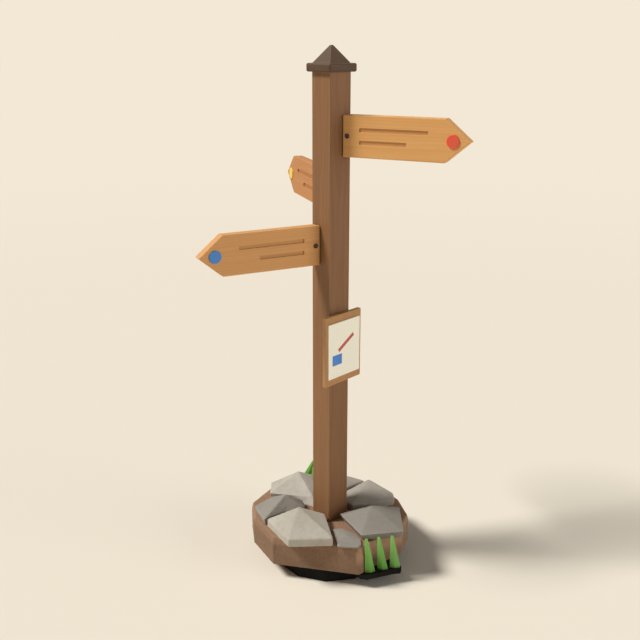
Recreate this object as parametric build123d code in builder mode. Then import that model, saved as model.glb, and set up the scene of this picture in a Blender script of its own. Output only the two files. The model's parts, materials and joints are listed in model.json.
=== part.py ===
from build123d import *
from math import atan2, cos, degrees, radians, sin, tan
import os

os.makedirs("parts", exist_ok=True)

# Post: a square timber that stands in the base. The origin is on its axis, at the ground
post_side = 125.0
post_top = 2452.0
post_round = 3.0

# Cap: a flat brim board and a blunt pyramid on it
brim_overhang = 20.5
brim_height = 38.0
brim_corner = 10.0
brim_edge = 9.0
pyramid_height = 77.0
pyramid_tip = 10.0
pyramid_inset = 1.5
cap_screw_place = 35.0
cap_screw_length = 90.0
cap_dowel_radius = 10.0
cap_dowel_up = 28.0
cap_dowel_down = 45.0

# Arms: three like boards, each pointing its own way from its own face of the post
arm_height = 190.0
arm_thickness = 50.0
arm_edge = 4.5
arm_shoulder = 491.5
arm_point = 114.5
root_gap = 3.5
red_arm_drop = 280.0
arm_spacing = 254.0
red_arm_swing = 22.2
blue_arm_swing = -13.3
yellow_arm_swing = -23.0
red_arm_across = 34.6
blue_arm_across = -25.4
yellow_arm_across = -29.3

# Routed slots and the painted disc on the front of each arm
slot_height = 18.0
slot_depth = 5.0
slot_corner = 1.5
slot_start = 85.5
upper_slot_length = 329.0
lower_slot_length = 227.0
upper_slot_rise = 30.0
lower_slot_drop = 26.0
disc_place = 529.0
disc_radius = 29.5
disc_thickness = 12.0
disc_proud = 5.0
disc_edge = 2.5

# Concealed swivel of each arm: a socket in the post, an upright pin and a blade in the arm
pin_radius = 5.0
pin_depth = 12.0
bore_clearance = 0.05
barrel_radius = 8.0
barrel_height = 83.0
barrel_play = 0.5
blade_thickness = 6.0
blade_height = 80.0
blade_reach = 90.0
kerf_clearance = 0.2
socket_width = 32.0
socket_wall = 4.0
socket_cap = 6.0
socket_play = 1.0
flange_height = 160.0
flange_thickness = 4.0
screw_first = 58.0
screw_second = 72.0
arm_bolt_place = 25.8
arm_bolt_radius = 5.0
arm_bolt_depth = 37.0
arm_bolt_head_radius = 11.5
arm_bolt_head_height = 6.0
arm_bolt_roundness = 0.8

# Map panel: a board on a tapered packer, with a raised sheet and two marks
panel_level = 1162.5
panel_width = 260.0
panel_height = 348.0
panel_thickness = 18.0
panel_corner = 6.0
panel_edge = 3.0
panel_yaw = 7.3
panel_back_off = 59.0
packer_width = 108.0
packer_height = 240.0
packer_thin_end = 1.5
sheet_width = 228.0
sheet_height = 276.0
sheet_thickness = 6.0
sheet_corner = 4.0
mark_sink = 2.0
mark_proud = 1.0
bar_width = 17.0
bar_length = 125.0
bar_slope = 29.6
bar_right = 12.5
bar_rise = 27.0
square_width = 67.0
square_height = 51.0
square_left = 52.0
square_drop = 48.0
panel_screw_across = 40.0
panel_screw_up = 95.0
panel_screw_length = 90.0

# Wood screws of the sockets, panel and cap: countersunk, all of one gauge
screw_radius = 2.6
screw_head_radius = 5.2
screw_head_height = 3.0
socket_screw_length = 45.0
screw_fit = 0.1

# Base: a many-sided block on a plinth, with a steel shoe for the post inside
block_radius = 400.0
stone_height = 100.0
foot_height = 75.0
foot_radius = 284.0
ledge_thickness = 25.0
block_height = 150.0
block_bevel_drop = 35.0
block_bevel_inset = 7.0
shoe_floor = 8.0
shoe_wall = 5.0
shoe_height = 110.0
shoe_flange_side = 250.0
shoe_fit = 0.5
collar_height = 22.0
collar_fit = 1.0
pocket_room = 16.0
flange_room = 1.0
shoe_bolt_place = 95.0
shoe_bolt_radius = 6.0
shoe_bolt_depth = 55.0
hex_head_width = 19.0
hex_head_height = 8.0
bolt_fit = 0.3
cross_bolt_low = 35.0
cross_bolt_step = 45.0
cross_nut_height = 10.0
cross_bolt_end = 2.0

# Grass: stiff flat blades, blunt at the tip
grass_width = 56.0
grass_depth = 18.0
grass_height = 186.0
grass_tip_share = 0.3

# Sizes that follow from the ones above
post_half = post_side / 2
soil = foot_height + block_height
post_bottom = foot_height + shoe_floor
brim_side = post_side + 2 * brim_overhang
brim_top = post_top + brim_height
red_arm_level = post_top - red_arm_drop
socket_depth = pin_depth + barrel_radius + socket_play + socket_wall
socket_height = barrel_height + 2 * barrel_play + 2 * socket_cap
arm_half = arm_thickness / 2


def write(piece, label):
    """Label a finished solid and write it to its own file."""
    piece.label = label
    export_step(piece, f"parts/{label}.step")


def turned(plane, outline):
    """Turn (radius, height) points about the plane's normal."""
    with BuildPart() as piece:
        with BuildSketch(Plane(plane.origin, plane.x_dir, plane.x_dir.cross(plane.z_dir))):
            with BuildLine():
                Polyline(*outline, close=True)
            make_face()
        revolve(axis=Axis(plane.origin, plane.z_dir))
    return piece.part


def rod(plane, radius, low, high):
    """A plain round bar along the plane's normal."""
    return turned(plane, [(0, low), (radius, low), (radius, high), (0, high)])


def wood_screw(plane, length, fit=0.0):
    """A countersunk screw with its head flush with the plane, or its hole with fit to spare."""
    head = screw_head_radius + fit
    shank = screw_radius + fit
    end = -length - fit
    return turned(plane, [(0, 0), (head, 0), (shank, -screw_head_height), (shank, end), (0, end)])


def hex_bolt(plane, length):
    """A hexagon-headed bolt with the underside of its head on the plane."""
    with BuildPart() as bolt:
        with BuildSketch(plane):
            RegularPolygon(hex_head_width / 2, 6, major_radius=False)
        extrude(amount=hex_head_height)
        with BuildSketch(plane):
            Circle(shoe_bolt_radius)
        extrude(amount=-length)
    return bolt.part


def on_block(points):
    """Places over the base, from shares of the block's radius."""
    return [(x * block_radius, y * block_radius) for x, y in points]


def corners(across, up):
    """The four corners of a rectangle, from half its width and half its height."""
    return [(x, y) for x in (-across, across) for y in (-up, up)]


def spread(plane, places):
    """Copies of a plane, shifted to (x, y) places on it."""
    return [Plane(plane.from_local_coords((x, y, 0)), plane.x_dir, plane.z_dir) for x, y in places]


# Places of the three arms: name, face of the post, swing from that face, place across it, level, front side
arms = [
    ("red_arm", -90.0, red_arm_swing, red_arm_across, red_arm_level, 1),
    ("yellow_arm", 90.0, yellow_arm_swing, yellow_arm_across, red_arm_level - arm_spacing, -1),
    ("blue_arm", 180.0, blue_arm_swing, blue_arm_across, red_arm_level - 2 * arm_spacing, -1),
]


def arm_planes(face, swing, across, level):
    """Planes on the post's face at the pin, and down the middle of the arm from the post's axis."""
    up = Vector(0, 0, 1)
    out = Vector(cos(radians(face)), sin(radians(face)), 0)
    along = Vector(cos(radians(face + swing)), sin(radians(face + swing)), 0)
    sideways = up.cross(out)
    meet = out * post_half + sideways * across
    pin_across = across - pin_depth * tan(radians(swing))
    on_face = Plane(out * post_half + sideways * pin_across + up * level, sideways, out)
    in_arm = Plane(meet - along * meet.dot(along) + up * level, along, along.cross(up))
    return on_face, in_arm


socket_cutters = []
for name, face, swing, across, level, front in arms:
    on_face, in_arm = arm_planes(face, swing, across, level)
    front_normal = in_arm.z_dir * front
    on_front = Plane(in_arm.origin + front_normal * arm_half, in_arm.x_dir, front_normal)
    pin_plane = Plane(on_face.origin - on_face.z_dir * pin_depth, on_face.x_dir, Vector(0, 0, 1))
    screw_heights = (screw_first, screw_second, -screw_first, -screw_second)
    screw_planes = spread(on_face, [(0, height) for height in screw_heights])
    screws = [wood_screw(plane, socket_screw_length) for plane in screw_planes]
    screw_holes = [wood_screw(plane, socket_screw_length, screw_fit) for plane in screw_planes]
    pin_hole = rod(pin_plane, pin_radius + bore_clearance, -socket_height, socket_height)

    # Socket: a welded box with a long flange, let in flush with the post's face
    with BuildPart() as socket:
        with BuildSketch(on_face):
            Rectangle(socket_width, socket_height)
        extrude(amount=-socket_depth)
        with BuildSketch(on_face):
            Rectangle(socket_width, flange_height)
        extrude(amount=-flange_thickness)
        socket_cutters.append((on_face, screw_holes))
        with BuildSketch(on_face):
            Rectangle(socket_width - 2 * socket_wall, socket_height - 2 * socket_cap)
        extrude(amount=-(socket_depth - socket_wall), mode=Mode.SUBTRACT)
        add([pin_hole] + screw_holes, mode=Mode.SUBTRACT)
    write(socket.part, f"{name}_socket")
    write(rod(pin_plane, pin_radius, -socket_height / 2, socket_height / 2), f"{name}_pin")
    write(Compound(children=screws), f"{name}_screws")

    # Blade: a barrel on the pin with a plate that runs out into the arm
    bolt_x = post_half + arm_bolt_place
    blade_end = post_half + blade_reach
    pin_x = in_arm.to_local_coords(pin_plane.origin).X
    bolt_plane = spread(on_front, [(bolt_x, 0)])[0]
    bolt_hole = rod(bolt_plane, arm_bolt_radius + bolt_fit, -arm_bolt_depth - bolt_fit, arm_thickness)
    blade_bolt_hole = rod(bolt_plane, arm_bolt_radius + bore_clearance, -arm_thickness, 0)
    barrel = rod(pin_plane, barrel_radius, -barrel_height / 2, barrel_height / 2)
    with BuildPart() as blade:
        with BuildSketch(in_arm):
            with Locations(((pin_x + blade_end) / 2, 0)):
                Rectangle(blade_end - pin_x, blade_height)
        extrude(amount=blade_thickness / 2, both=True)
        add(barrel)
        add([pin_hole, blade_bolt_hole], mode=Mode.SUBTRACT)
    write(blade.part, f"{name}_blade")

    # Board: pointed, mitred to the post's face, with every outline edge eased
    disc_x = post_half + disc_place
    upper_x = post_half + slot_start + upper_slot_length / 2
    lower_x = post_half + slot_start + lower_slot_length / 2
    shoulder_x = post_half + arm_shoulder
    disc_seat = disc_thickness - disc_proud
    disc_plane = spread(on_front, [(disc_x, 0)])[0]
    with BuildPart() as board:
        with BuildSketch(in_arm):
            with BuildLine():
                Polyline(
                    (0, -arm_height / 2),
                    (shoulder_x, -arm_height / 2),
                    (shoulder_x + arm_point, 0),
                    (shoulder_x, arm_height / 2),
                    (0, arm_height / 2),
                    close=True,
                )
            make_face()
        extrude(amount=arm_half, both=True)
        with BuildSketch(on_face.offset(root_gap)):
            Rectangle(4 * arm_thickness, 2 * arm_height)
        extrude(amount=-2 * post_side, mode=Mode.SUBTRACT)
        through = board.faces().sort_by(Axis(in_arm.origin, in_arm.z_dir))
        root = board.faces().sort_by(Axis(on_face.origin, on_face.z_dir))[0]
        fillet(through[0].edges() + through[-1].edges() + root.edges(), arm_edge)
        with BuildSketch(in_arm):
            Rectangle(2 * (blade_end + kerf_clearance), blade_height + 2 * kerf_clearance)
        extrude(amount=blade_thickness / 2 + kerf_clearance, both=True, mode=Mode.SUBTRACT)
        with BuildSketch(on_front):
            with Locations((upper_x, upper_slot_rise * front)):
                RectangleRounded(upper_slot_length, slot_height, slot_corner)
            with Locations((lower_x, -lower_slot_drop * front)):
                RectangleRounded(lower_slot_length, slot_height, slot_corner)
        extrude(amount=-slot_depth, mode=Mode.SUBTRACT)
        with BuildSketch(disc_plane):
            Circle(disc_radius + bolt_fit)
        extrude(amount=-disc_seat, mode=Mode.SUBTRACT)
        add(bolt_hole, mode=Mode.SUBTRACT)
    write(board.part, f"{name}_board")

    with BuildPart() as disc:
        with BuildSketch(disc_plane.offset(-disc_seat)):
            Circle(disc_radius)
        extrude(amount=disc_thickness)
        fillet(disc.faces().sort_by(Axis(disc_plane.origin, disc_plane.z_dir))[-1].edges(), disc_edge)
    write(disc.part, f"{name}_disc")

    # Bolt: a cup head on the front of the board, its shank through the blade
    with BuildPart() as bolt:
        with BuildSketch(bolt_plane):
            Circle(arm_bolt_head_radius)
        extrude(amount=arm_bolt_head_height)
        crown = bolt.faces().sort_by(Axis(bolt_plane.origin, bolt_plane.z_dir))[-1]
        fillet(crown.edges(), arm_bolt_head_height * arm_bolt_roundness)
        with BuildSketch(bolt_plane):
            Circle(arm_bolt_radius)
        extrude(amount=-arm_bolt_depth)
    write(bolt.part, f"{name}_bolt")

# Panel: its plane leans off the post's face and touches the post's far edge
yaw = radians(panel_yaw)
panel_right = Vector(cos(yaw), sin(yaw), 0)
panel_out = Vector(sin(yaw), -cos(yaw), 0)
panel_centre = Vector(post_half, -post_half, panel_level) - panel_right * panel_back_off
on_back = Plane(panel_centre, panel_right, panel_out)
on_panel = on_back.offset(panel_thickness)
on_sheet = on_panel.offset(sheet_thickness)
panel_screw_planes = spread(on_panel, corners(panel_screw_across, panel_screw_up))
panel_screw_holes = [wood_screw(plane, panel_screw_length, screw_fit) for plane in panel_screw_planes]
panel_screws = [wood_screw(plane, panel_screw_length) for plane in panel_screw_planes]
write(Compound(children=panel_screws), "panel_screws")

with BuildPart() as panel_board:
    with BuildSketch(on_back):
        RectangleRounded(panel_width, panel_height, panel_corner)
    extrude(amount=panel_thickness)
    fillet(panel_board.faces().sort_by(Axis(on_back.origin, on_back.z_dir))[-1].edges(), panel_edge)
    add(panel_screw_holes, mode=Mode.SUBTRACT)
write(panel_board.part, "panel_board")

# Packer: fills the wedge between the post and the panel
thin_x = post_half - packer_thin_end / tan(yaw)
thick_x = thin_x - packer_width
with BuildPart() as packer:
    with BuildSketch(Plane.XY.offset(panel_level - packer_height / 2)):
        with BuildLine():
            Polyline(
                (thin_x, -post_half),
                (thick_x, -post_half),
                (thick_x, -post_half - (post_half - thick_x) * tan(yaw)),
                (thin_x, -post_half - (post_half - thin_x) * tan(yaw)),
                close=True,
            )
        make_face()
    extrude(amount=packer_height)
    add(panel_screw_holes, mode=Mode.SUBTRACT)
write(packer.part, "panel_packer")

# Marks: a slanting bar and a rectangle, let into the sheet and a little proud of it
with BuildPart() as route_bar:
    with BuildSketch(on_sheet.offset(-mark_sink)):
        with Locations((bar_right, bar_rise)):
            Rectangle(bar_length, bar_width, rotation=bar_slope)
    extrude(amount=mark_sink + mark_proud)
write(route_bar.part, "map_route_bar")

with BuildPart() as square:
    with BuildSketch(on_sheet.offset(-mark_sink)):
        with Locations((-square_left, -square_drop)):
            Rectangle(square_width, square_height)
    extrude(amount=mark_sink + mark_proud)
write(square.part, "map_square")

with BuildPart() as sheet:
    with BuildSketch(on_panel):
        RectangleRounded(sheet_width, sheet_height, sheet_corner)
    extrude(amount=sheet_thickness)
    add([route_bar.part, square.part], mode=Mode.SUBTRACT)
write(sheet.part, "map_sheet")

# Cap: the brim is screwed to the post, and the pyramid sits over the screws on a dowel
top_plane = Plane.XY.offset(brim_top)
cap_screw_planes = spread(top_plane, corners(cap_screw_place, cap_screw_place))
cap_screw_holes = [wood_screw(plane, cap_screw_length, screw_fit) for plane in cap_screw_planes]
cap_screws = [wood_screw(plane, cap_screw_length) for plane in cap_screw_planes]
write(Compound(children=cap_screws), "cap_screws")
dowel_low = -brim_height - cap_dowel_down
dowel_hole = rod(top_plane, cap_dowel_radius + screw_fit, dowel_low - screw_fit, cap_dowel_up + screw_fit)
write(rod(top_plane, cap_dowel_radius, dowel_low, cap_dowel_up), "cap_dowel")

with BuildPart() as brim:
    with BuildSketch(Plane.XY.offset(post_top)):
        RectangleRounded(brim_side, brim_side, brim_corner)
    extrude(amount=brim_height)
    fillet(brim.faces().sort_by(Axis.Z)[0].edges() + brim.faces().sort_by(Axis.Z)[-1].edges(), brim_edge)
    add([dowel_hole] + cap_screw_holes, mode=Mode.SUBTRACT)
write(brim.part, "cap_brim")

with BuildPart() as pyramid:
    with BuildSketch(top_plane):
        Rectangle(post_side - 2 * pyramid_inset, post_side - 2 * pyramid_inset)
    with BuildSketch(top_plane.offset(pyramid_height)):
        Rectangle(pyramid_tip, pyramid_tip)
    loft(ruled=True)
    add(dowel_hole, mode=Mode.SUBTRACT)
write(pyramid.part, "cap_pyramid")

# Shoe: a square tube on a flange, bolted to the plinth, with two bolts across the post
shoe_side = post_side + 2 * (shoe_fit + shoe_wall)
with BuildPart() as shoe_solid:
    with BuildSketch(Plane.XY.offset(foot_height)):
        Rectangle(shoe_flange_side, shoe_flange_side)
    extrude(amount=shoe_floor)
    with BuildSketch(Plane.XY.offset(post_bottom)):
        Rectangle(shoe_side, shoe_side)
        Rectangle(post_side + 2 * shoe_fit, post_side + 2 * shoe_fit, mode=Mode.SUBTRACT)
    extrude(amount=shoe_height)
flange_bolt_planes = spread(Plane.XY.offset(post_bottom), corners(shoe_bolt_place, shoe_bolt_place))
flange_bolt_length = shoe_floor + shoe_bolt_depth
flange_bolts = [hex_bolt(plane, flange_bolt_length) for plane in flange_bolt_planes]
write(Compound(children=flange_bolts), "shoe_bolts")
bolt_hole_radius = shoe_bolt_radius + bolt_fit
bolt_hole_end = -flange_bolt_length - bolt_fit
flange_bolt_holes = [rod(plane, bolt_hole_radius, bolt_hole_end, 0) for plane in flange_bolt_planes]

on_shoe_side = Plane((-shoe_side / 2, 0, post_bottom), (0, -1, 0), (-1, 0, 0))
cross_planes = spread(on_shoe_side, [(0, cross_bolt_low), (0, cross_bolt_low + cross_bolt_step)])
cross_length = shoe_side + cross_nut_height + cross_bolt_end
cross_holes = [rod(plane, bolt_hole_radius, -shoe_side, 0) for plane in cross_planes]
write(Compound(children=[hex_bolt(plane, cross_length) for plane in cross_planes]), "cross_bolts")
cross_nuts = []
for plane in cross_planes:
    with BuildPart() as nut:
        with BuildSketch(plane.offset(-shoe_side)):
            RegularPolygon(hex_head_width / 2, 6, major_radius=False)
            Circle(shoe_bolt_radius + screw_fit, mode=Mode.SUBTRACT)
        extrude(amount=-cross_nut_height)
    cross_nuts.append(nut.part)
write(Compound(children=cross_nuts), "cross_nuts")

with BuildPart() as shoe:
    add(shoe_solid.part)
    add(flange_bolt_holes + cross_holes, mode=Mode.SUBTRACT)
write(shoe.part, "post_shoe")

# Post: the timber itself, with its mortises and screw holes
with BuildPart() as post:
    with BuildSketch(Plane.XY.offset(post_bottom)):
        RectangleRounded(post_side, post_side, post_round)
    extrude(amount=post_top - post_bottom)
    for on_face, screw_holes in socket_cutters:
        with BuildSketch(on_face):
            Rectangle(socket_width + 2 * screw_fit, socket_height + 2 * screw_fit)
        extrude(amount=-socket_depth - screw_fit, mode=Mode.SUBTRACT)
        with BuildSketch(on_face):
            Rectangle(socket_width + 2 * screw_fit, flange_height + 2 * screw_fit)
        extrude(amount=-flange_thickness, mode=Mode.SUBTRACT)
        add(screw_holes, mode=Mode.SUBTRACT)
    add(panel_screw_holes + cap_screw_holes + cross_holes + [dowel_hole], mode=Mode.SUBTRACT)
write(post.part, "post")

# Block: its outline as seen from above, from the left corner anticlockwise, cut out below for the shoe
block_outline = [
    (-0.94, 0.005), (-0.29, -0.875), (0.45, -0.863), (0.765, -0.683), (0.96, -0.325), (1.06, 0.125),
    (0.875, 0.675), (0.375, 1.05), (-0.15, 1.075), (-0.595, 0.905), (-0.815, 0.565),
]
block_taper = degrees(atan2(block_bevel_inset, block_bevel_drop))
shoe_pocket = shoe_side + 2 * pocket_room
flange_pocket = shoe_flange_side + 2 * flange_room
with BuildPart() as block:
    with BuildSketch(Plane.XY.offset(foot_height)):
        Polygon(*on_block(block_outline), align=None)
    extrude(amount=block_height - block_bevel_drop)
    extrude(block.faces().sort_by(Axis.Z)[-1], amount=block_bevel_drop, taper=block_taper)
    with BuildSketch(Plane.XY.offset(foot_height)):
        Rectangle(flange_pocket, flange_pocket)
    extrude(amount=shoe_floor + hex_head_height + flange_room, mode=Mode.SUBTRACT)
    with BuildSketch(Plane.XY.offset(foot_height)):
        Rectangle(shoe_pocket, shoe_pocket)
    extrude(amount=block_height - collar_height, mode=Mode.SUBTRACT)
    with BuildSketch(Plane.XY.offset(foot_height)):
        Rectangle(post_side + 2 * collar_fit, post_side + 2 * collar_fit)
    extrude(amount=block_height, mode=Mode.SUBTRACT)
write(block.part, "base_body")

# Foot: a twelve-sided plinth with a ledge in front for the grass
ledge_outline = [
    (-0.25, -0.625), (-0.26, -0.885), (-0.22, -0.935), (-0.075, -0.993),
    (0.075, -1.045), (0.2, -1.11), (0.25, -1.075), (0.265, -0.625),
]
with BuildPart() as foot:
    with BuildSketch():
        RegularPolygon(foot_radius, 12, rotation=15)
    extrude(amount=foot_height)
    with BuildSketch(Plane.XY.offset(foot_height)):
        Polygon(*on_block(ledge_outline), align=None)
    extrude(amount=-ledge_thickness)
    add(flange_bolt_holes, mode=Mode.SUBTRACT)
write(foot.part, "base_foot")


def rock(label, rim_shares, rim_rise, apex, spread_at_soil, toe=None):
    """A stone with a skirt from the soil to its rim and flat facets from there to its apex.

    A toe is a corner of the rim, by its number, and the place that the stone reaches to under it.
    """
    rim = on_block(rim_shares)
    peak = (*on_block([apex[:2]])[0], soil + apex[2] * stone_height)
    middle_x = sum(x for x, y in rim) / len(rim)
    middle_y = sum(y for x, y in rim) / len(rim)
    pulled = [(x - middle_x, y - middle_y) for x, y in rim]
    base = [(middle_x + x * spread_at_soil, middle_y + y * spread_at_soil) for x, y in pulled]
    if toe:
        base[toe[0]] = on_block([toe[1]])[0]
    with BuildPart() as stone:
        with BuildSketch(Plane.XY.offset(soil)):
            Polygon(*base, align=None)
        with BuildSketch(Plane.XY.offset(soil + rim_rise * stone_height)):
            Polygon(*rim, align=None)
        loft(ruled=True)
        top = stone.faces().sort_by(Axis.Z)[-1]
        loft([top, Vertex(*peak)], ruled=True)
    write(stone.part, label)


rock(
    "front_left_rock",
    [(-0.828, 0.26), (-0.932, -0.295), (-0.5, -0.63), (-0.188, -0.117), (-0.325, 0.15)],
    0.45,
    (-0.54, -0.02, 1.2),
    1.0,
)
rock(
    "left_rock",
    [(-0.723, 0.672), (-0.838, 0.312), (-0.5, 0.287), (-0.238, 0.21), (-0.14, 0.385), (-0.375, 0.725)],
    0.35,
    (-0.4, 0.425, 0.98),
    0.95,
)
rock(
    "back_left_rock",
    [
        (-0.175, 1.02), (-0.37, 0.795), (-0.21, 0.6), (0.0, 0.338),
        (0.275, 0.625), (0.412, 0.838), (0.225, 1.0),
    ],
    0.4,
    (0.14, 0.82, 1.0),
    0.95,
    (3, (-0.05, 0.215)),
)
rock(
    "back_rock",
    [(0.312, 0.5), (0.375, 0.225), (0.838, 0.233), (0.752, 0.487), (0.537, 0.713)],
    0.4,
    (0.562, 0.45, 0.85),
    0.95,
)
rock(
    "right_rock",
    [(0.237, 0.155), (0.25, -0.155), (0.465, -0.295), (0.792, -0.407), (0.885, -0.278), (0.825, 0.15)],
    0.4,
    (0.713, 0.02, 1.0),
    0.95,
)
rock(
    "front_right_rock",
    [(-0.028, -0.22), (-0.18, -0.79), (0.29, -1.062), (0.675, -0.6), (0.45, -0.35)],
    0.4,
    (0.25, -0.512, 0.95),
    0.86,
    (2, (0.287, -1.035)),
)
rock(
    "small_rock",
    [
        (-0.262, -0.35), (-0.48, -0.695), (-0.305, -0.87), (-0.235, -0.855),
        (-0.16, -0.76), (-0.127, -0.63), (-0.163, -0.42),
    ],
    0.12,
    (-0.263, -0.6, 0.22),
    1.0,
)


def grass(label, level, blades):
    """Stiff tapered blades: root, turn of the root, tip and height of each."""
    solids = []
    for root_x, root_y, heading, tip_x, tip_y, height in blades:
        turn = radians(heading)
        root, tip = on_block([(root_x, root_y), (tip_x, tip_y)])
        along = (cos(turn), sin(turn), 0)
        with BuildPart() as blade:
            for place, rise, share in ((root, 0, 1), (tip, height * grass_height, grass_tip_share)):
                wide = share * grass_width / 2
                deep = share * grass_depth / 2
                with BuildSketch(Plane((*place, level + rise), along, (0, 0, 1))):
                    Polygon((-wide, 0), (0, -deep), (wide, 0), (0, deep), align=None)
            loft(ruled=True)
        solids.append(blade.part)
    write(Compound(children=solids), label)


grass(
    "front_grass",
    foot_height,
    [
        (-0.137, -0.913, -26, -0.217, -0.915, 1.08),
        (0.025, -0.968, -42, -0.037, -0.95, 1.01),
        (0.17, -1.04, -40, 0.11, -1.032, 1.01),
    ],
)
grass(
    "back_grass",
    soil,
    [
        (0.375, 0.953, -41, 0.465, 0.876, 0.621),
        (0.445, 0.863, -60, 0.5, 0.825, 0.684),
        (0.5, 0.88, -10, 0.555, 0.875, 0.579),
    ],
)
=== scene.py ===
import bpy
import json
from math import cos, pi, radians, sin
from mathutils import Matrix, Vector


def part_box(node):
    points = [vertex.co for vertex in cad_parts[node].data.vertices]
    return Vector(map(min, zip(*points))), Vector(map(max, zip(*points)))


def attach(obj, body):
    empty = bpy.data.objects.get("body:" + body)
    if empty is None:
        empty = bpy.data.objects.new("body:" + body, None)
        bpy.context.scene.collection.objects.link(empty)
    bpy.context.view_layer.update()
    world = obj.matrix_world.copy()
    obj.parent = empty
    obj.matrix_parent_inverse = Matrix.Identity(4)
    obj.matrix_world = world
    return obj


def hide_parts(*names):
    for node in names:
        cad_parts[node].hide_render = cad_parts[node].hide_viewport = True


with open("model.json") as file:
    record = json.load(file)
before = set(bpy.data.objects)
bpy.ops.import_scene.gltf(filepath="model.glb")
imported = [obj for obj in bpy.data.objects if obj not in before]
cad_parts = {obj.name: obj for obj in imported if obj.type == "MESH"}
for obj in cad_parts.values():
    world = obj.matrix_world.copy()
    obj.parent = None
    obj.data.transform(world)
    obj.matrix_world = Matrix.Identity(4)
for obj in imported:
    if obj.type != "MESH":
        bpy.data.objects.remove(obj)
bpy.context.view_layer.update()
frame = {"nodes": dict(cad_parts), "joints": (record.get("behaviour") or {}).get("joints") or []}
bpy.ops.object.select_all(action="DESELECT")


# Foot: a twelve-sided plinth of moulded rubber, coloured near-black as painted shade for the shadow under the
# block, with a ledge in front for the grass.
# It is one moulding, set back under the block, and its skin is pebbled like a tyre's side.
def paint(colour):
    """The shader's colour for one that is written as six hex digits."""
    levels = [int(colour[i:i + 2], 16) / 255 for i in (0, 2, 4)]
    return [*(v / 12.92 if v <= 0.04045 else ((v + 0.055) / 1.055) ** 2.4 for v in levels), 1.0]


class Finish:
    """A material under the brush: its surface shader, and short ways to add and join nodes."""

    def __init__(self, name):
        self.material = bpy.data.materials.new(name)
        self.material.use_nodes = True
        self.tree = self.material.node_tree
        self.surface = self.tree.nodes["Principled BSDF"]
        self.place = self.add("TexCoord").outputs["Object"]

    def add(self, kind, inputs=(), **settings):
        """A node of that kind; each input is a number, a colour or another node's output."""
        node = self.tree.nodes.new("ShaderNode" + kind)
        for key, value in settings.items():
            setattr(node, key, value)
        for key, value in dict(inputs).items():
            if isinstance(value, bpy.types.NodeSocket):
                self.tree.links.new(value, node.inputs[key])
            else:
                node.inputs[key].default_value = value
        return node

    def noise(self, place, scale, detail=4.0, roughness=0.55):
        """Soft noise from 0 to 1, with that many spots to the metre."""
        settings = {"Vector": place, "Scale": scale, "Detail": detail, "Roughness": roughness}
        return self.add("TexNoise", settings).outputs["Fac"]

    def stretch(self, place, scale, turn=(0, 0, 0), middle=(0, 0, 0)):
        """The place seen from a turned frame about a middle, then scaled along that frame's axes."""
        frame_inputs = {"Vector": place, "Location": middle, "Rotation": turn}
        turned = self.add("Mapping", frame_inputs, vector_type="TEXTURE")
        return self.add("Mapping", {"Vector": turned.outputs[0], "Scale": scale}).outputs[0]

    def math(self, operation, a, b=0.0, clamp=False):
        """One step of arithmetic on two values."""
        return self.add("Math", {0: a, 1: b}, operation=operation, use_clamp=clamp).outputs[0]

    def times(self, a, b):
        """The product of two values."""
        return self.math("MULTIPLY", a, b)

    def span(self, value, low, high, to_low=0.0, to_high=1.0):
        """The value's way from low to high, as a number from to_low to to_high."""
        settings = {"Value": value, "From Min": low, "From Max": high, "To Min": to_low, "To Max": to_high}
        return self.add("MapRange", settings, interpolation_type="SMOOTHSTEP").outputs["Result"]

    def mix(self, amount, first, second, blend="MIX"):
        """The first colour, with that amount of the second over it."""
        node = self.add("Mix", {0: amount, 6: first, 7: second}, data_type="RGBA", blend_type=blend)
        return node.outputs[2]

    def edges(self, reach):
        """How near a point is to an outer edge: 0 on flats and about a half on an arris."""
        inner = self.add("AmbientOcclusion", {"Distance": reach}, samples=6, inside=True, only_local=True)
        return self.math("SUBTRACT", 1.0, inner.outputs["AO"])

    def finish(self, colour, roughness, height, bump, depth):
        """Join the colour, the roughness and a relief of that height to the surface."""
        self.tree.links.new(colour, self.surface.inputs["Base Color"])
        self.tree.links.new(roughness, self.surface.inputs["Roughness"])
        relief = self.add("Bump", {"Strength": bump, "Distance": depth, "Height": height})
        self.tree.links.new(relief.outputs[0], self.surface.inputs["Normal"])
        return self.material


def dress(material, *nodes):
    """Give CAD nodes their material."""
    for name in nodes:
        slots = frame["nodes"][name].data.materials
        slots.clear()
        slots.append(material)


rubber = Finish("foot_rubber")
rubber.surface.inputs["Specular IOR Level"].default_value = 0.15
pebbles = rubber.add("TexVoronoi", {"Vector": rubber.place, "Scale": 260.0}).outputs["Distance"]
dust = rubber.noise(rubber.place, 9.0)
# Painted shade: the foot's near-black colour stands for the dark shadow under the block; the paler flecks are
# dust.
foot_painted_shade_colour = rubber.mix(rubber.span(dust, 0.45, 0.75, 0.0, 0.3), paint("0B0A09"), paint("1C1815"))
foot_roughness = rubber.span(dust, 0.3, 0.7, 0.62, 0.85)
dress(rubber.finish(foot_painted_shade_colour, foot_roughness, pebbles, bump=0.35, depth=0.0006), "base_foot")

# Shoe, bolts and swivels: zinc-plated steel, brushed where it was cut and a little dull.
# Little of it shows: the sockets' flanges and the blades, in the gaps behind the arms.
zinc = Finish("zinc_steel")
zinc.surface.inputs["Metallic"].default_value = 1.0
spangle = zinc.add("TexVoronoi", {"Vector": zinc.place, "Scale": 90.0}).outputs["Color"]
brushed = zinc.noise(zinc.stretch(zinc.place, (40, 40, 900)), 1.0, 3.0)
zinc_colour = zinc.mix(0.18, paint("A8A7A2"), spangle, "MULTIPLY")
zinc_colour = zinc.mix(zinc.times(zinc.edges(0.003), 0.5), zinc_colour, paint("D0CFCB"))
zinc_roughness = zinc.span(brushed, 0.3, 0.7, 0.3, 0.5)
zinc_finish = zinc.finish(zinc_colour, zinc_roughness, brushed, bump=0.1, depth=0.0002)
dress(zinc_finish, "post_shoe", "shoe_bolts", "cross_bolts", "cross_nuts", "cap_screws", "panel_screws")
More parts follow.
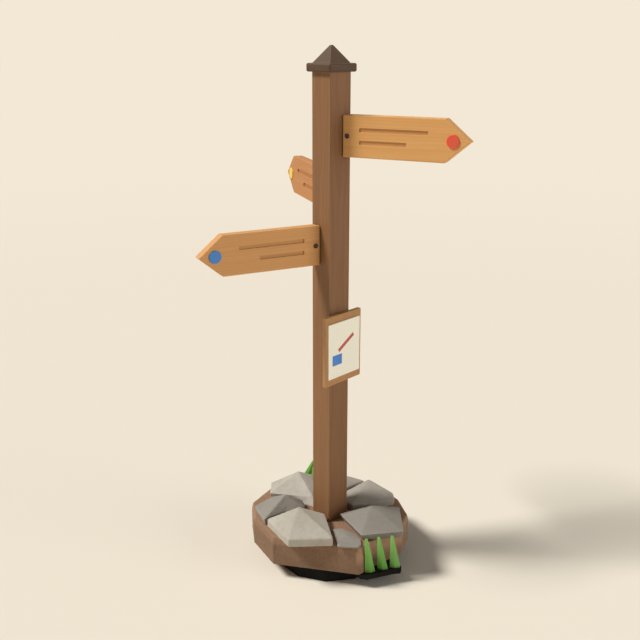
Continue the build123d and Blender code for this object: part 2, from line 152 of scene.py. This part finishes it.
for arm in ("red_arm", "yellow_arm", "blue_arm"):
    dress(zinc_finish, arm + "_socket", arm + "_pin", arm + "_screws", arm + "_blade")


# Block: a heavy casting coloured and textured as packed earth, that the post stands in.
# It starts from the true casting, whose edges are eased, and its skin is worn and pitted.
def eased(name, node, edge, voxel=0.0, lumps=0.0, lump_size=0.0):
    """A new piece with a node's shape and eased edges, and with a voxel size a skin of shallow lumps."""
    same_point = 0.00001
    flat_angle = radians(1)
    edge_angle = radians(8)
    smooth_angle = radians(24)
    piece = bpy.data.objects.new(name, frame["nodes"][node].data.copy())
    bpy.context.scene.collection.objects.link(piece)
    bpy.ops.object.select_all(action="DESELECT")
    piece.select_set(True)
    bpy.context.view_layer.objects.active = piece
    bpy.ops.object.mode_set(mode="EDIT")
    bpy.ops.mesh.select_all(action="SELECT")
    bpy.ops.mesh.remove_doubles(threshold=same_point)
    bpy.ops.mesh.dissolve_limited(angle_limit=flat_angle)
    bpy.ops.object.mode_set(mode="OBJECT")
    ease = piece.modifiers.new("ease", "BEVEL")
    ease.width = edge
    ease.segments = 3
    ease.limit_method = "ANGLE"
    ease.angle_limit = edge_angle
    bpy.ops.object.modifier_apply(modifier=ease.name)
    if voxel:
        skin = piece.modifiers.new("skin", "REMESH")
        skin.mode = "VOXEL"
        skin.voxel_size = voxel
        bpy.ops.object.modifier_apply(modifier=skin.name)
        pattern = bpy.data.textures.new(name + "_lumps", "CLOUDS")
        pattern.noise_scale = lump_size
        pattern.noise_depth = 3
        lump = piece.modifiers.new("lumps", "DISPLACE")
        lump.texture = pattern
        lump.texture_coords = "LOCAL"
        lump.strength = lumps
        lump.mid_level = 0.55
        bpy.ops.object.modifier_apply(modifier=lump.name)
    bpy.ops.object.shade_smooth_by_angle(angle=smooth_angle)
    piece.data.materials.clear()
    return piece


def toward(surface, way):
    """How far a point lies along a direction, from the origin on the ground under the post."""
    return surface.add("VectorMath", {0: surface.place, 1: way}, operation="DOT_PRODUCT").outputs["Value"]


earth = Finish("packed_earth")
broad = earth.noise(earth.place, 5.0, 5.0)
crumbs = earth.noise(earth.place, 95.0, 6.0, 0.65)
grit = earth.add("TexVoronoi", {"Vector": earth.place, "Scale": 190.0}).outputs["Distance"]
grit_spots = earth.span(grit, 0.10, 0.18, 1.0, 0.0)
earth_colour = earth.mix(earth.span(broad, 0.35, 0.65), paint("7F624B"), paint("8A6B52"))

# Painted light and shade: its rim is painted paler all round, the face behind the blades lighter near the
# top, and the left face darker.
front_way = (0.016, -1.0, 0.0)
left_way = (-0.976, 0.218, 0.0)
earth_level = earth.add("SeparateXYZ", {0: earth.place}).outputs["Z"]
# Painted highlight: the top and the band just under it are paler, for light falling on the top edge.
rim = earth.span(earth_level, 0.186, 0.196, 0.0, 0.45)
earth_colour = earth.mix(rim, earth_colour, paint("A98467"))
# Painted light: the face behind the blades is lighter near its top.
on_front = earth.span(toward(earth, front_way), 0.330, 0.344)
painted_light_front = earth.times(on_front, earth.span(earth_level, 0.11, 0.17, 0.0, 0.7))
earth_colour = earth.mix(painted_light_front, earth_colour, paint("B48D70"))
# Painted shade: the left face is darker.
painted_shade_left = earth.span(toward(earth, left_way), 0.350, 0.365, 0.0, 0.4)
earth_colour = earth.mix(painted_shade_left, earth_colour, paint("684F3A"))
earth_colour = earth.mix(earth.span(crumbs, 0.45, 0.75, 0.0, 0.35), earth_colour, paint("5F4734"))
earth_colour = earth.mix(earth.times(grit_spots, 0.2), earth_colour, paint("A68A68"))
earth_colour = earth.mix(earth.times(earth.edges(0.015), 0.4), earth_colour, paint("A98A6B"))
earth_height = earth.math("ADD", crumbs, earth.times(grit_spots, 0.35))
block = eased("earth_block", "base_body", edge=0.006, voxel=0.006, lumps=0.003, lump_size=0.03)
earth_roughness = earth.span(crumbs, 0.3, 0.7, 0.75, 0.95)
earth_finish = earth.finish(earth_colour, earth_roughness, earth_height, bump=0.4, depth=0.002)
block.data.materials.append(earth_finish)
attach(block, "signpost")
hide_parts("base_body")


# Post: one sawn and planed timber under a worn oil stain, with its pith boxed in.
# The grain runs up it, with its growth rings about the pith.
def timber(name, pale, dark, turn, middle, pith, ring_gap, edge_wear_and_highlight=0.12, painted_light_and_shade=None):
    """Wood whose grain runs along the x axis of a frame, turned and set at a middle.

    It has growth rings about a pith line, stretched fibres, pores and paler edges, partly worn and partly
    a painted highlight, with painted light or shade of its own over them where one is given.
    """
    wood = Finish(name)
    wood.surface.inputs["Specular IOR Level"].default_value = 0.3

    def drawn_out(scale, detail, roughness=0.55):
        """Noise that is drawn out along the grain."""
        return wood.noise(wood.stretch(wood.place, scale, turn, middle), 1.0, detail, roughness)

    wobble = drawn_out((0.9, 5, 5), 3.0)
    near_pith = wood.stretch(wood.place, (0.02, 1, 1), turn, middle)
    offset = wood.add("VectorMath", {0: near_pith, 1: (0, *pith)}, operation="SUBTRACT").outputs[0]
    radius = wood.add("VectorMath", {0: offset}, operation="LENGTH").outputs["Value"]
    wander = wood.times(wobble, 0.05)
    rings = wood.math("FRACT", wood.math("DIVIDE", wood.math("ADD", radius, wander), ring_gap))
    late = wood.times(wood.span(rings, 0.25, 0.85), wood.span(rings, 0.88, 1.0, 1.0, 0.0))
    fibre = drawn_out((7, 260, 260), 5.0, 0.6)
    streak = drawn_out((1.6, 34, 34), 4.0, 0.5)
    pores = drawn_out((22, 700, 700), 2.0, 0.5)
    pore_marks = wood.span(pores, 0.62, 0.72)
    grain = wood.math("ADD", wood.times(late, 0.22), wood.times(streak, 0.78), clamp=True)
    colour = wood.mix(wood.span(grain, 0.1, 0.85), paint(pale), paint(dark))
    colour = wood.mix(wood.span(fibre, 0.35, 0.75, 0.0, 0.1), colour, paint(dark))
    colour = wood.mix(wood.times(pore_marks, 0.08), colour, paint("3A2414"))
    # Paler edges: partly wear, partly a painted highlight along the eased edges.
    worn_and_highlit_edges = wood.times(wood.span(wood.edges(0.010), 0.14, 0.45), wood.span(streak, 0.3, 0.6, 0.4, 1.0))
    colour = wood.mix(wood.times(worn_and_highlit_edges, edge_wear_and_highlight), colour, paint("F0D2A0"))
    # Painted light or shade, where a function for it is given, goes over the wood's colour.
    if painted_light_and_shade:
        colour = painted_light_and_shade(wood, colour)
    height = wood.math("SUBTRACT", wood.times(fibre, 0.6), wood.times(pore_marks, 0.4))
    height = wood.math("ADD", height, wood.times(late, 0.25))
    roughness = wood.span(fibre, 0.3, 0.75, 0.5, 0.7)
    return wood.finish(colour, roughness, height, bump=0.18, depth=0.0005)


upright = (0, -pi / 2, 0)
post_axis = (0, 0, 0)
post_finish = timber(
    "post_timber", "8E6643", "805A3B", upright, post_axis, pith=(0.02, 0.015), ring_gap=0.011)
dress(post_finish, "post", "cap_dowel")

# Cap: a square brim board and a low pyramid, both of dark stained hardwood.
# The brim's grain lies level, and the pyramid's runs with the brim's.
brim_low, brim_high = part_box("cap_brim")
level_grain = (0, 0, 0)
little_edge_wear_and_highlight = 0.03
half_blur = 0.014
brim_finish = timber(
    "brim_timber", "594332", "513C2C", level_grain, brim_low,
    pith=(0.06, -0.05), ring_gap=0.009, edge_wear_and_highlight=little_edge_wear_and_highlight)
dress(brim_finish, "cap_brim")


def painted_light_right_faces(wood, colour):
    """The pyramid's stain, painted lighter on its faces towards +x and −y as painted light, softly across the
    ridges.
    """
    right_facing = toward(wood, (1, -1, 0))
    return wood.mix(wood.span(right_facing, -half_blur, half_blur), colour, paint("5D4839"))


# The pyramid's faces towards +x and −y carry painted light.
pyramid_finish = timber(
    "pyramid_timber", "533D27", "4B3723", level_grain, brim_high,
    pith=(0.03, 0.02), ring_gap=0.008, edge_wear_and_highlight=little_edge_wear_and_highlight, painted_light_and_shade=painted_light_right_faces)
dress(pyramid_finish, "cap_pyramid")

# Arms: three pointed boards of honey-coloured timber, planed, with every outline edge eased.
# Two slots are routed in each front, and they are painted a little darker inside: painted shade in the
# recesses.
pins = {joint["child"]: Vector(joint["pos_m"]) for joint in frame["joints"]}
# Each arm has its own stain; the yellow arm's is darker and redder, and its darkness is partly painted shade.
arm_boards = {
    "red_arm": {"heading": -67.8, "front": -1, "pith": (0.03, -0.07), "stain_and_shade": ("E5AC6B", "DBA060")},
    "yellow_arm": {"heading": 67.0, "front": 1, "pith": (-0.035, 0.1), "stain_and_shade": ("BF8450", "B47A47")},
    "blue_arm": {"heading": 166.7, "front": 1, "pith": (0.04, 0.02), "stain_and_shade": ("DCA468", "D2985E")},
}
half_board = 0.025
slots_start = 0.08
slots_end = 0.43
slots_half = 0.042
slots_shade_amount = 0.3
just_sunk = 0.0008
well_sunk = 0.003


def slot_painted_shade(turn, middle, front):
    """Painted shade: darker floors and walls for the routed slots, in the board's own frame."""
    def shade_in_slots(wood, colour):
        inner = wood.add("SeparateXYZ", {0: wood.stretch(wood.place, (1, 1, 1), turn, middle)}).outputs
        to_front = wood.times(inner["Y"], front)
        sunk = wood.span(wood.math("SUBTRACT", half_board, to_front), just_sunk, well_sunk)
        front_half = wood.math("GREATER_THAN", to_front, half_board / 2)
        level = wood.math("LESS_THAN", wood.math("ABSOLUTE", inner["Z"]), slots_half)
        after = wood.math("GREATER_THAN", inner["X"], slots_start)
        before = wood.math("LESS_THAN", inner["X"], slots_end)
        amount = wood.times(wood.times(sunk, front_half), wood.times(level, after))
        amount = wood.times(wood.times(amount, before), slots_shade_amount)
        return wood.mix(amount, colour, paint("97602F"))
    return shade_in_slots


for arm, board in arm_boards.items():
    turn = (0, 0, radians(board["heading"]))
    painted_shade_slots = slot_painted_shade(turn, pins[arm], board["front"])
    arm_finish = timber(
        arm + "_timber", *board["stain_and_shade"], turn, pins[arm],
        pith=board["pith"], ring_gap=0.013, painted_light_and_shade=painted_shade_slots)
    dress(arm_finish, arm + "_board")


# Discs: round painted buttons let into the points of the arms, one colour for each way.
# Brushed enamel over wood, a little orange-peeled, and rubbed thin along its rim.
def enamel(name, colour, worn_colour):
    """Brushed enamel in two close shades, rubbed through to the wood along its edges."""
    coat = Finish(name)
    peel = coat.noise(coat.place, 420.0, 2.0)
    cloud = coat.noise(coat.place, 30.0, 3.0)
    shade = coat.mix(coat.span(cloud, 0.35, 0.65, 0.0, 0.22), paint(colour), paint(worn_colour))
    rubbed = coat.times(coat.span(coat.edges(0.004), 0.2, 0.5), coat.span(cloud, 0.4, 0.6))
    shade = coat.mix(coat.times(rubbed, 0.35), shade, paint("D9B98A"))
    return coat.finish(shade, coat.span(cloud, 0.3, 0.7, 0.35, 0.48), peel, bump=0.12, depth=0.0004)


dress(enamel("red_paint", "E6573C", "D34A31"), "red_arm_disc")
dress(enamel("yellow_paint", "E9C748", "DEB73A"), "yellow_arm_disc")
dress(enamel("blue_paint", "4289D4", "377BC2"), "blue_arm_disc")

# Arm bolts: cup heads of blackened steel, turned and waxed, one through each board into its blade.
# They are rubbed a little brighter where they curve most.
iron = Finish("black_bolt")
iron.surface.inputs["Metallic"].default_value = 0.6
hammer = iron.noise(iron.place, 160.0, 3.0)
iron_colour = iron.mix(iron.span(hammer, 0.4, 0.7), paint("2B2925"), paint("4A463E"))
iron_colour = iron.mix(iron.times(iron.edges(0.003), 0.6), iron_colour, paint("8A857A"))
iron_finish = iron.finish(iron_colour, iron.span(hammer, 0.3, 0.7, 0.38, 0.6), hammer, bump=0.3, depth=0.0004)
dress(iron_finish, "red_arm_bolt", "yellow_arm_bolt", "blue_arm_bolt")

# Panel: an oiled board on a tapered packer, screwed to the post a few degrees off its face.
# On it a pale laminate sheet stands proud, with a red bar and a blue rectangle let into it.
panel_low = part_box("panel_board")[0]
panel_heading = radians(7.3)
panel_turn = (0, -pi / 2, panel_heading)
panel_finish = timber(
    "panel_timber", "BC8C5C", "B08152", panel_turn, panel_low, pith=(0.05, 0.03), ring_gap=0.010)
dress(panel_finish, "panel_board", "panel_packer")

laminate = Finish("map_laminate")
laminate.surface.inputs["IOR"].default_value = 1.65
fog = laminate.noise(laminate.place, 7.0, 4.0)
weave = laminate.noise(laminate.place, 520.0, 2.0)
sheet_colour = laminate.mix(laminate.span(fog, 0.35, 0.7, 0.0, 0.5), paint("FFFBEA"), paint("FAF4E0"))
sheet_colour = laminate.mix(laminate.times(laminate.edges(0.003), 0.15), sheet_colour, paint("E8DDC2"))
sheet_roughness = laminate.span(fog, 0.3, 0.7, 0.42, 0.6)
dress(laminate.finish(sheet_colour, sheet_roughness, weave, bump=0.1, depth=0.0003), "map_sheet")
for mark, colour, faded in (("map_route_bar", "CB564C", "BE4D45"), ("map_square", "4588DA", "3D7ECE")):
    ink = Finish(mark + "_inlay")
    fading = ink.noise(ink.place, 55.0, 3.0)
    ink_colour = ink.mix(ink.span(fading, 0.35, 0.65, 0.0, 0.6), paint(colour), paint(faded))
    ink_roughness = ink.span(fading, 0.3, 0.7, 0.4, 0.55)
    dress(ink.finish(ink_colour, ink_roughness, fading, bump=0.08, depth=0.0003), mark)


# Stones: seven pale split stones, bedded side by side on the block, some greyer than others.
# Each keeps the broad flat faces that it was split with, and its edges are chipped and eased.
def split_stone(name, pale, dark):
    """Stone with soft clouds of tone, a fine mottle, dark specks and paler bruised edges."""
    stone = Finish(name)
    tone = stone.noise(stone.place, 4.0, 3.0)
    mottle = stone.noise(stone.place, 38.0, 7.0, 0.7)
    fine = stone.noise(stone.place, 240.0, 4.0, 0.7)
    speck = stone.add("TexVoronoi", {"Vector": stone.place, "Scale": 310.0}).outputs["Distance"]
    colour = stone.mix(stone.span(tone, 0.35, 0.65), paint(pale), paint(dark))
    colour = stone.mix(stone.span(mottle, 0.42, 0.72, 0.0, 0.22), colour, paint("857D71"))
    colour = stone.mix(stone.span(speck, 0.08, 0.16, 0.22, 0.0), colour, paint("6E675D"))
    colour = stone.mix(stone.times(stone.edges(0.010), 0.25), colour, paint("D8D0C2"))
    height = stone.math("ADD", mottle, stone.times(fine, 0.4))
    return stone.finish(colour, stone.span(mottle, 0.3, 0.7, 0.68, 0.9), height, bump=0.25, depth=0.0015)


stone_tones = {
    "front_left_rock": ("BAB3A5", "B0A99B"),
    "left_rock": ("948F84", "8A847A"),
    "back_left_rock": ("C2BBAE", "B7B0A3"),
    "back_rock": ("A8A195", "9C958A"),
    "right_rock": ("B0A89C", "A49C90"),
    "front_right_rock": ("8C867D", "837D74"),
    "small_rock": ("918B81", "88827A"),
}
stone_skin = {"edge": 0.005, "voxel": 0.004, "lumps": 0.0022, "lump_size": 0.022}
small_skin = {"edge": 0.003, "voxel": 0.003, "lumps": 0.0012, "lump_size": 0.022}
for node, (pale, dark) in stone_tones.items():
    split = eased(node + "_stone", node, **(small_skin if node == "small_rock" else stone_skin))
    split.data.materials.append(split_stone(node + "_face", pale, dark))
    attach(split, "signpost")
    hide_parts(node)

# Grass: stiff moulded blades, three on the ledge in front and a tuft behind the post.
# Each is a flat spear with a midrib on both sides, widest at the root, with a blunt tip.
green = Finish("grass_green")
ribs = green.noise(green.stretch(green.place, (380, 380, 9)), 1.0, 3.0)
height_up = green.add("SeparateXYZ", {0: green.place}).outputs["Z"]
blade_colour = green.mix(green.span(height_up, 0.07, 0.30), paint("5E9C37"), paint("83C659"))
blade_colour = green.mix(green.span(ribs, 0.4, 0.7, 0.0, 0.3), blade_colour, paint("528F31"))
blade_colour = green.mix(green.times(green.edges(0.004), 0.3), blade_colour, paint("A5C97C"))

# The blade that stands furthest to the right is a little paler.
right_way = (0.759, -0.651, 0.0)
right_blade = green.span(toward(green, right_way), 0.29, 0.31, 0.0, 0.1)
blade_colour = green.mix(right_blade, blade_colour, paint("B5D79A"))
blade_roughness = green.span(ribs, 0.3, 0.7, 0.45, 0.65)
grass_finish = green.finish(blade_colour, blade_roughness, ribs, bump=0.25, depth=0.0008)
for node in ("front_grass", "back_grass"):
    spears = eased(node + "_spears", node, edge=0.003)
    spears.data.materials.append(grass_finish)
    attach(spears, "signpost")
    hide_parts(node)

# Studio: a plain pale floor that runs into a pale surround, and an even sky.
# One soft lamp stands high on the left, and a broad one, a third as strong, low on the right.
floor_size = 60.0
glow_starts = 5.0
glow_is_full = 14.0
pale_surround = paint("F2E8D5")
warm_white = (1.0, 0.985, 0.96)
bpy.ops.mesh.primitive_plane_add(size=floor_size, location=(0, 0, 0))
floor = bpy.context.active_object
floor.name = "studio_floor"
ground = Finish("studio_floor")
ground.surface.inputs["Base Color"].default_value = paint("EFE6D5")
ground.surface.inputs["Roughness"].default_value = 0.9
ground.surface.inputs["Specular IOR Level"].default_value = 0.1
pale_glow = ground.add("Emission", {"Color": pale_surround, "Strength": 1.0})
distance = ground.add("VectorMath", {0: ground.place}, operation="LENGTH").outputs["Value"]
far = ground.span(distance, glow_starts, glow_is_full)
blend = ground.add("MixShader", {0: far, 1: ground.surface.outputs[0], 2: pale_glow.outputs[0]})
ground.tree.links.new(blend.outputs[0], ground.tree.nodes["Material Output"].inputs["Surface"])
floor.data.materials.append(ground.material)

# The sky lights the object weakly. Where it is seen, mirrored or looked through, it shows the surround.
sky = bpy.data.worlds.new("studio_sky")
sky.use_nodes = True
bpy.context.scene.world = sky
lit = sky.node_tree.nodes["Background"]
lit.inputs["Color"].default_value = (*warm_white, 1.0)
lit.inputs["Strength"].default_value = 0.13
seen = sky.node_tree.nodes.new("ShaderNodeBackground")
seen.inputs["Color"].default_value = pale_surround
seen.inputs["Strength"].default_value = 1.0
path = sky.node_tree.nodes.new("ShaderNodeLightPath")
join = sky.node_tree.links.new
past_object = path.outputs["Is Camera Ray"]
for ray in ("Is Glossy Ray", "Is Transmission Ray"):
    either = sky.node_tree.nodes.new("ShaderNodeMath")
    either.operation = "MAXIMUM"
    join(past_object, either.inputs[0])
    join(path.outputs[ray], either.inputs[1])
    past_object = either.outputs[0]
choose = sky.node_tree.nodes.new("ShaderNodeMixShader")
join(past_object, choose.inputs[0])
join(lit.outputs[0], choose.inputs[1])
join(seen.outputs[0], choose.inputs[2])
join(choose.outputs[0], sky.node_tree.nodes["World Output"].inputs["Surface"])


def lamp(name, strength, heading, height, spread, tint):
    """A far lamp whose light travels along a heading and falls at a height angle."""
    lamp_data = bpy.data.lights.new(name, "SUN")
    lamp_data.energy = strength
    lamp_data.angle = radians(spread)
    lamp_data.color = tint
    one = bpy.data.objects.new(name, lamp_data)
    bpy.context.scene.collection.objects.link(one)
    level = Vector((cos(radians(heading)), sin(radians(heading)), 0))
    travel = level * cos(radians(height)) - Vector((0, 0, sin(radians(height))))
    one.rotation_euler = travel.to_track_quat("-Z", "Y").to_euler()


lamp("key_lamp", strength=3.3, heading=-35.2, height=49.0, spread=15.0, tint=warm_white)
lamp("fill_lamp", strength=1.05, heading=118.0, height=12.0, spread=40.0, tint=(1.0, 0.99, 0.98))

# Camera: eye height and distance as in the photograph, level side to side and looking a little down.
# Its turn is measured from the y axis.
eye = (-2.782, -3.161, 2.5936)
look_turn = -40.65
look_down = 17.286
lens_length = 50.86
film_width = 36.0
camera_data = bpy.data.cameras.new("camera")
camera_data.sensor_width = film_width
camera_data.lens = lens_length
camera = bpy.data.objects.new("camera", camera_data)
camera.location = eye
camera.rotation_euler = (radians(90 - look_down), 0, radians(look_turn))
bpy.context.scene.collection.objects.link(camera)
bpy.context.scene.camera = camera
bpy.context.scene.view_settings.view_transform = "Standard"
